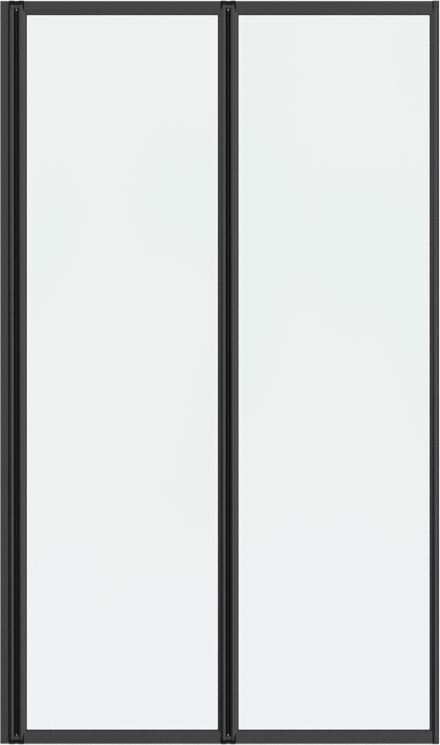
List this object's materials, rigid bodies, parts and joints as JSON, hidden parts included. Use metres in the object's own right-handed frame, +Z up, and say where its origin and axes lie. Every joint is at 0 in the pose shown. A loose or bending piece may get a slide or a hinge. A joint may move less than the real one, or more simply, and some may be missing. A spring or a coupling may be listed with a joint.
{
  "type": "folding bath screen",
  "caption": "Framed glass screen for a bath: a wall profile and hinged glass leaves on double-pivot hinges that swing from the wall and fold flat together.",
  "frame": {"origin": "on the wall face of the wall profile, at its mid depth, level with the bottom edge of the rails", "axes": "+X from the wall along the closed-out screen, -Y the side that the picture shows, +Z up"},
  "size_m": [0.8275, 0.0144, 1.402],
  "materials": {
    "black_frame": "satin",
    "clear_glass": "polished",
    "glazing_gasket": "satin",
    "black_seal": "matte",
    "black_screw": "satin",
    "bright_steel": "polished",
    "black_cover": "satin",
    "black_nylon": "matte"
  },
  "bodies": {
    "wall_side": {"hinge_post": "black_frame", "post_bottom_bush": "black_nylon", "post_fixing_screws": "black_screw", "post_top_bush": "black_nylon", "wall_profile": "black_frame", "wall_profile_bottom_plug": "black_cover", "wall_profile_top_plug": "black_cover"},
    "wall_link": {"wall_hinge_seal": "black_seal", "wall_link_bottom_cover": "black_cover", "wall_link_bottom_plate": "black_frame", "wall_link_pivot_pins": "bright_steel", "wall_link_top_cover": "black_cover", "wall_link_top_plate": "black_frame", "wall_seal_dowels": "bright_steel"},
    "inner_leaf": {"inner_bottom_rail": "black_frame", "inner_bottom_seal": "black_seal", "inner_corner_block_bottom_left": "black_nylon", "inner_corner_block_bottom_right": "black_nylon", "inner_corner_block_top_left": "black_nylon", "inner_corner_block_top_right": "black_nylon", "inner_fold_stile": "black_frame", "inner_frame_screws": "black_screw", "inner_gasket_bottom": "glazing_gasket", "inner_gasket_left": "glazing_gasket", "inner_gasket_right": "glazing_gasket", "inner_gasket_top": "glazing_gasket", "inner_glass": "clear_glass", "inner_hinge_stile": "black_frame", "inner_setting_blocks": "black_nylon", "inner_top_rail": "black_frame"},
    "fold_link": {"fold_hinge_seal": "black_seal", "fold_link_bottom_cover": "black_cover", "fold_link_bottom_plate": "black_frame", "fold_link_pivot_pins": "bright_steel", "fold_link_top_cover": "black_cover", "fold_link_top_plate": "black_frame", "fold_seal_dowels": "bright_steel"},
    "outer_leaf": {"closing_stile_bottom_cap": "black_cover", "closing_stile_top_cap": "black_cover", "outer_bottom_rail": "black_frame", "outer_bottom_seal": "black_seal", "outer_closing_stile": "black_frame", "outer_corner_block_bottom_left": "black_nylon", "outer_corner_block_bottom_right": "black_nylon", "outer_corner_block_top_left": "black_nylon", "outer_corner_block_top_right": "black_nylon", "outer_frame_screws": "black_screw", "outer_gasket_bottom": "glazing_gasket", "outer_gasket_left": "glazing_gasket", "outer_gasket_right": "glazing_gasket", "outer_gasket_top": "glazing_gasket", "outer_glass": "clear_glass", "outer_hinge_stile": "black_frame", "outer_setting_blocks": "black_nylon", "outer_top_rail": "black_frame"}
  },
  "joints": [
    {"name": "wall_link_turn", "type": "hinge", "parent": "wall_side", "child": "wall_link", "pos_m": [0.0217, 0, 0.7], "axis": [0, 0, 1], "range_deg": [-60, 60]},
    {"name": "inner_leaf_turn", "type": "hinge", "parent": "wall_link", "child": "inner_leaf", "pos_m": [0.0392, 0, 0.7], "axis": [0, 0, 1], "range_deg": [-30, 30]},
    {"name": "fold_link_turn", "type": "hinge", "parent": "inner_leaf", "child": "fold_link", "pos_m": [0.421, 0, 0.7], "axis": [0, 0, 1], "range_deg": [-90, 90]},
    {"name": "outer_leaf_turn", "type": "hinge", "parent": "fold_link", "child": "outer_leaf", "pos_m": [0.4385, 0, 0.7], "axis": [0, 0, 1], "range_deg": [-90, 90]}
  ],
  "couplings": [
    {"joint": "inner_leaf_turn", "follows": "wall_link_turn", "ratio": 0.5},
    {"joint": "outer_leaf_turn", "follows": "fold_link_turn", "ratio": 1}
  ]
}
